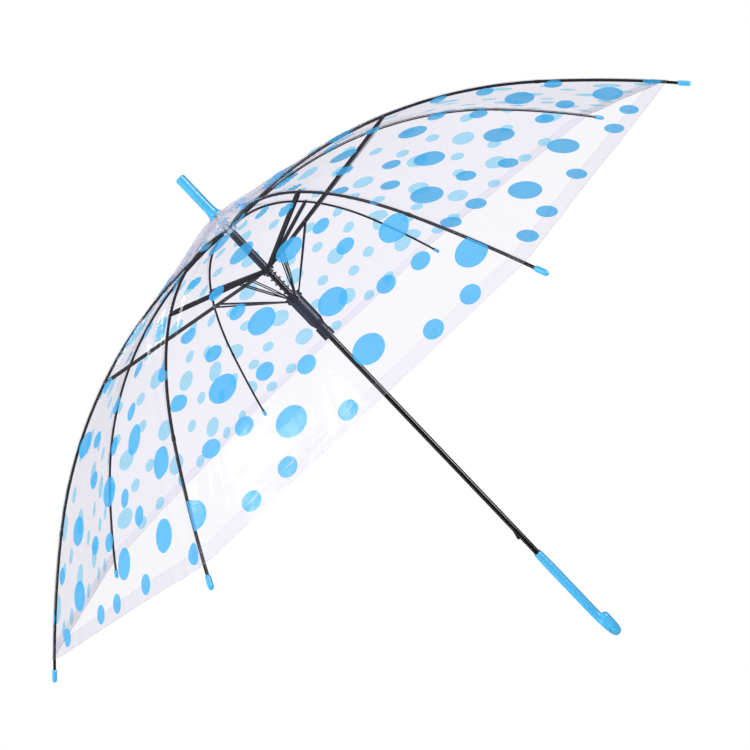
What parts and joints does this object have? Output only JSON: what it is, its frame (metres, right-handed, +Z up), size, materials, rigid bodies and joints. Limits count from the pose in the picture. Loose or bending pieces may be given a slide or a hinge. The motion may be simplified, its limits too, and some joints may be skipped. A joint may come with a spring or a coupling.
{
  "type": "umbrella",
  "caption": "Clear dome stick umbrella with printed dots, ribs on a folding self-opening frame, blue ferrule, tip caps and J handle.",
  "frame": {"origin": "middle of the handle's straight grip, on the shaft's axis", "axes": "+Z up the shaft towards the ferrule, -Y within 10 degrees of the side the hook turns to"},
  "size_m": [0.982, 0.982, 0.818],
  "materials": {
    "black_steel": "gloss black paint",
    "crown_plastic": "milky clear moulded plastic",
    "wire": "zinc plated wire",
    "blue_plastic": "sky blue glossy moulded plastic",
    "black_plastic": "black moulded plastic",
    "film": "clear soft vinyl film printed with sky blue dots",
    "spring_steel": "blackened spring wire",
    "rivet": "plated rivets",
    "catch_steel": "plated spring steel"
  },
  "bodies": {
    "shaft": {"shaft_tube": "black_steel", "crown_notch": "crown_plastic", "crown_wire": "wire", "canopy_washer": "crown_plastic", "ferrule": "blue_plastic", "handle": "blue_plastic"},
    "rib_1": {"rib_1": "black_steel", "tip_cap_1": "blue_plastic", "gore_1": "film"},
    "rib_2": {"rib_2": "black_steel", "tip_cap_2": "blue_plastic", "gore_2": "film"},
    "rib_3": {"rib_3": "black_steel", "tip_cap_3": "blue_plastic", "gore_3": "film"},
    "rib_4": {"rib_4": "black_steel", "tip_cap_4": "blue_plastic", "gore_4": "film"},
    "rib_5": {"rib_5": "black_steel", "tip_cap_5": "blue_plastic", "gore_5": "film"},
    "rib_6": {"rib_6": "black_steel", "tip_cap_6": "blue_plastic", "gore_6": "film"},
    "rib_7": {"rib_7": "black_steel", "tip_cap_7": "blue_plastic", "gore_7": "film"},
    "rib_8": {"rib_8": "black_steel", "tip_cap_8": "blue_plastic", "gore_8": "film"},
    "stretcher_1": {"stretcher_1": "black_steel", "rivets_1": "rivet"},
    "stretcher_2": {"stretcher_2": "black_steel", "rivets_2": "rivet"},
    "stretcher_3": {"stretcher_3": "black_steel", "rivets_3": "rivet"},
    "stretcher_4": {"stretcher_4": "black_steel", "rivets_4": "rivet"},
    "stretcher_5": {"stretcher_5": "black_steel", "rivets_5": "rivet"},
    "stretcher_6": {"stretcher_6": "black_steel", "rivets_6": "rivet"},
    "stretcher_7": {"stretcher_7": "black_steel", "rivets_7": "rivet"},
    "stretcher_8": {"stretcher_8": "black_steel", "rivets_8": "rivet"},
    "strut_1": {"strut_1": "black_steel"},
    "strut_2": {"strut_2": "black_steel"},
    "strut_3": {"strut_3": "black_steel"},
    "strut_4": {"strut_4": "black_steel"},
    "strut_5": {"strut_5": "black_steel"},
    "strut_6": {"strut_6": "black_steel"},
    "strut_7": {"strut_7": "black_steel"},
    "strut_8": {"strut_8": "black_steel"},
    "upper_runner": {"upper_runner": "black_plastic", "upper_wire": "wire"},
    "lower_runner": {"lower_runner": "black_plastic", "lower_wire": "wire", "spring": "spring_steel"},
    "catch": {"catch": "catch_steel"}
  },
  "joints": [
    {"name": "rib_1_fold", "type": "hinge", "parent": "shaft", "child": "rib_1", "pos_m": [0.00647, 0.00268, 0.629], "axis": [-0.3827, 0.9239, 0], "range_deg": [0, 64.5], "stiffness_Nm_per_rad": 15, "springref_deg": -24.12, "deforming": ["gore_1", "gore_2", "gore_3", "gore_4", "gore_5", "gore_6", "gore_7", "gore_8"]},
    {"name": "rib_2_fold", "type": "hinge", "parent": "shaft", "child": "rib_2", "pos_m": [0.00268, 0.00647, 0.629], "axis": [-0.9239, 0.3827, 0], "range_deg": [0, 64.5]},
    {"name": "rib_3_fold", "type": "hinge", "parent": "shaft", "child": "rib_3", "pos_m": [-0.00268, 0.00647, 0.629], "axis": [-0.9239, -0.3827, 0], "range_deg": [0, 64.5]},
    {"name": "rib_4_fold", "type": "hinge", "parent": "shaft", "child": "rib_4", "pos_m": [-0.00647, 0.00268, 0.629], "axis": [-0.3827, -0.9239, 0], "range_deg": [0, 64.5]},
    {"name": "rib_5_fold", "type": "hinge", "parent": "shaft", "child": "rib_5", "pos_m": [-0.00647, -0.00268, 0.629], "axis": [0.3827, -0.9239, 0], "range_deg": [0, 64.5]},
    {"name": "rib_6_fold", "type": "hinge", "parent": "shaft", "child": "rib_6", "pos_m": [-0.00268, -0.00647, 0.629], "axis": [0.9239, -0.3827, 0], "range_deg": [0, 64.5]},
    {"name": "rib_7_fold", "type": "hinge", "parent": "shaft", "child": "rib_7", "pos_m": [0.00268, -0.00647, 0.629], "axis": [0.9239, 0.3827, 0], "range_deg": [0, 64.5]},
    {"name": "rib_8_fold", "type": "hinge", "parent": "shaft", "child": "rib_8", "pos_m": [0.00647, -0.00268, 0.629], "axis": [0.3827, 0.9239, 0], "range_deg": [0, 64.5]},
    {"name": "stretcher_1_fold", "type": "hinge", "parent": "rib_1", "child": "stretcher_1", "pos_m": [0.23052, 0.09548, 0.59421], "axis": [-0.3827, 0.9239, 0], "range_deg": [-129, 0]},
    {"name": "stretcher_2_fold", "type": "hinge", "parent": "rib_2", "child": "stretcher_2", "pos_m": [0.09548, 0.23052, 0.59421], "axis": [-0.9239, 0.3827, 0], "range_deg": [-129, 0]},
    {"name": "stretcher_3_fold", "type": "hinge", "parent": "rib_3", "child": "stretcher_3", "pos_m": [-0.09548, 0.23052, 0.59421], "axis": [-0.9239, -0.3827, 0], "range_deg": [-129, 0]},
    {"name": "stretcher_4_fold", "type": "hinge", "parent": "rib_4", "child": "stretcher_4", "pos_m": [-0.23052, 0.09548, 0.59421], "axis": [-0.3827, -0.9239, 0], "range_deg": [-129, 0]},
    {"name": "stretcher_5_fold", "type": "hinge", "parent": "rib_5", "child": "stretcher_5", "pos_m": [-0.23052, -0.09548, 0.59421], "axis": [0.3827, -0.9239, 0], "range_deg": [-129, 0]},
    {"name": "stretcher_6_fold", "type": "hinge", "parent": "rib_6", "child": "stretcher_6", "pos_m": [-0.09548, -0.23052, 0.59421], "axis": [0.9239, -0.3827, 0], "range_deg": [-129, 0]},
    {"name": "stretcher_7_fold", "type": "hinge", "parent": "rib_7", "child": "stretcher_7", "pos_m": [0.09548, -0.23052, 0.59421], "axis": [0.9239, 0.3827, 0], "range_deg": [-129, 0]},
    {"name": "stretcher_8_fold", "type": "hinge", "parent": "rib_8", "child": "stretcher_8", "pos_m": [0.23052, -0.09548, 0.59421], "axis": [0.3827, 0.9239, 0], "range_deg": [-129, 0]},
    {"name": "strut_1_fold", "type": "hinge", "parent": "stretcher_1", "child": "strut_1", "pos_m": [0.07871, 0.0326, 0.57063], "axis": [-0.3827, 0.9239, 0], "range_deg": [0, 25.6]},
    {"name": "strut_2_fold", "type": "hinge", "parent": "stretcher_2", "child": "strut_2", "pos_m": [0.0326, 0.07871, 0.57063], "axis": [-0.9239, 0.3827, 0], "range_deg": [0, 25.6]},
    {"name": "strut_3_fold", "type": "hinge", "parent": "stretcher_3", "child": "strut_3", "pos_m": [-0.0326, 0.07871, 0.57063], "axis": [-0.9239, -0.3827, 0], "range_deg": [0, 25.6]},
    {"name": "strut_4_fold", "type": "hinge", "parent": "stretcher_4", "child": "strut_4", "pos_m": [-0.07871, 0.0326, 0.57063], "axis": [-0.3827, -0.9239, 0], "range_deg": [0, 25.6]},
    {"name": "strut_5_fold", "type": "hinge", "parent": "stretcher_5", "child": "strut_5", "pos_m": [-0.07871, -0.0326, 0.57063], "axis": [0.3827, -0.9239, 0], "range_deg": [0, 25.6]},
    {"name": "strut_6_fold", "type": "hinge", "parent": "stretcher_6", "child": "strut_6", "pos_m": [-0.0326, -0.07871, 0.57063], "axis": [0.9239, -0.3827, 0], "range_deg": [0, 25.6]},
    {"name": "strut_7_fold", "type": "hinge", "parent": "stretcher_7", "child": "strut_7", "pos_m": [0.0326, -0.07871, 0.57063], "axis": [0.9239, 0.3827, 0], "range_deg": [0, 25.6]},
    {"name": "strut_8_fold", "type": "hinge", "parent": "stretcher_8", "child": "strut_8", "pos_m": [0.07871, -0.0326, 0.57063], "axis": [0.3827, 0.9239, 0], "range_deg": [0, 25.6]},
    {"name": "upper_runner_hinge", "type": "hinge", "parent": "stretcher_1", "child": "upper_runner", "pos_m": [0.00647, 0.00268, 0.55941], "axis": [-0.3827, 0.9239, 0], "range_deg": [0, 64.5]},
    {"name": "lower_runner_slide", "type": "slide", "parent": "upper_runner", "child": "lower_runner", "axis": [0, 0, 1], "range_m": [0, 0.0299], "deforming": ["spring"]},
    {"name": "catch_press", "type": "slide", "parent": "shaft", "child": "catch", "axis": [1, 0, 0], "range_m": [0, 0.0024], "stiffness_N_per_m": 600, "springref_m": -0.002}
  ],
  "couplings": [
    {"joint": "rib_2_fold", "follows": "rib_1_fold", "ratio": 1},
    {"joint": "rib_3_fold", "follows": "rib_1_fold", "ratio": 1},
    {"joint": "rib_4_fold", "follows": "rib_1_fold", "ratio": 1},
    {"joint": "rib_5_fold", "follows": "rib_1_fold", "ratio": 1},
    {"joint": "rib_6_fold", "follows": "rib_1_fold", "ratio": 1},
    {"joint": "rib_7_fold", "follows": "rib_1_fold", "ratio": 1},
    {"joint": "rib_8_fold", "follows": "rib_1_fold", "ratio": 1},
    {"joint": "stretcher_1_fold", "follows": "rib_1_fold", "ratio": -2},
    {"joint": "stretcher_2_fold", "follows": "rib_1_fold", "ratio": -2},
    {"joint": "stretcher_3_fold", "follows": "rib_1_fold", "ratio": -2},
    {"joint": "stretcher_4_fold", "follows": "rib_1_fold", "ratio": -2},
    {"joint": "stretcher_5_fold", "follows": "rib_1_fold", "ratio": -2},
    {"joint": "stretcher_6_fold", "follows": "rib_1_fold", "ratio": -2},
    {"joint": "stretcher_7_fold", "follows": "rib_1_fold", "ratio": -2},
    {"joint": "stretcher_8_fold", "follows": "rib_1_fold", "ratio": -2},
    {"joint": "strut_1_fold", "follows": "rib_1_fold", "ratio": 0.39677},
    {"joint": "strut_2_fold", "follows": "rib_1_fold", "ratio": 0.39677},
    {"joint": "strut_3_fold", "follows": "rib_1_fold", "ratio": 0.39677},
    {"joint": "strut_4_fold", "follows": "rib_1_fold", "ratio": 0.39677},
    {"joint": "strut_5_fold", "follows": "rib_1_fold", "ratio": 0.39677},
    {"joint": "strut_6_fold", "follows": "rib_1_fold", "ratio": 0.39677},
    {"joint": "strut_7_fold", "follows": "rib_1_fold", "ratio": 0.39677},
    {"joint": "strut_8_fold", "follows": "rib_1_fold", "ratio": 0.39677},
    {"joint": "upper_runner_hinge", "follows": "rib_1_fold", "ratio": 1},
    {"joint": "lower_runner_slide", "follows": "rib_1_fold", "m_per_rad": 0.026544}
  ]
}
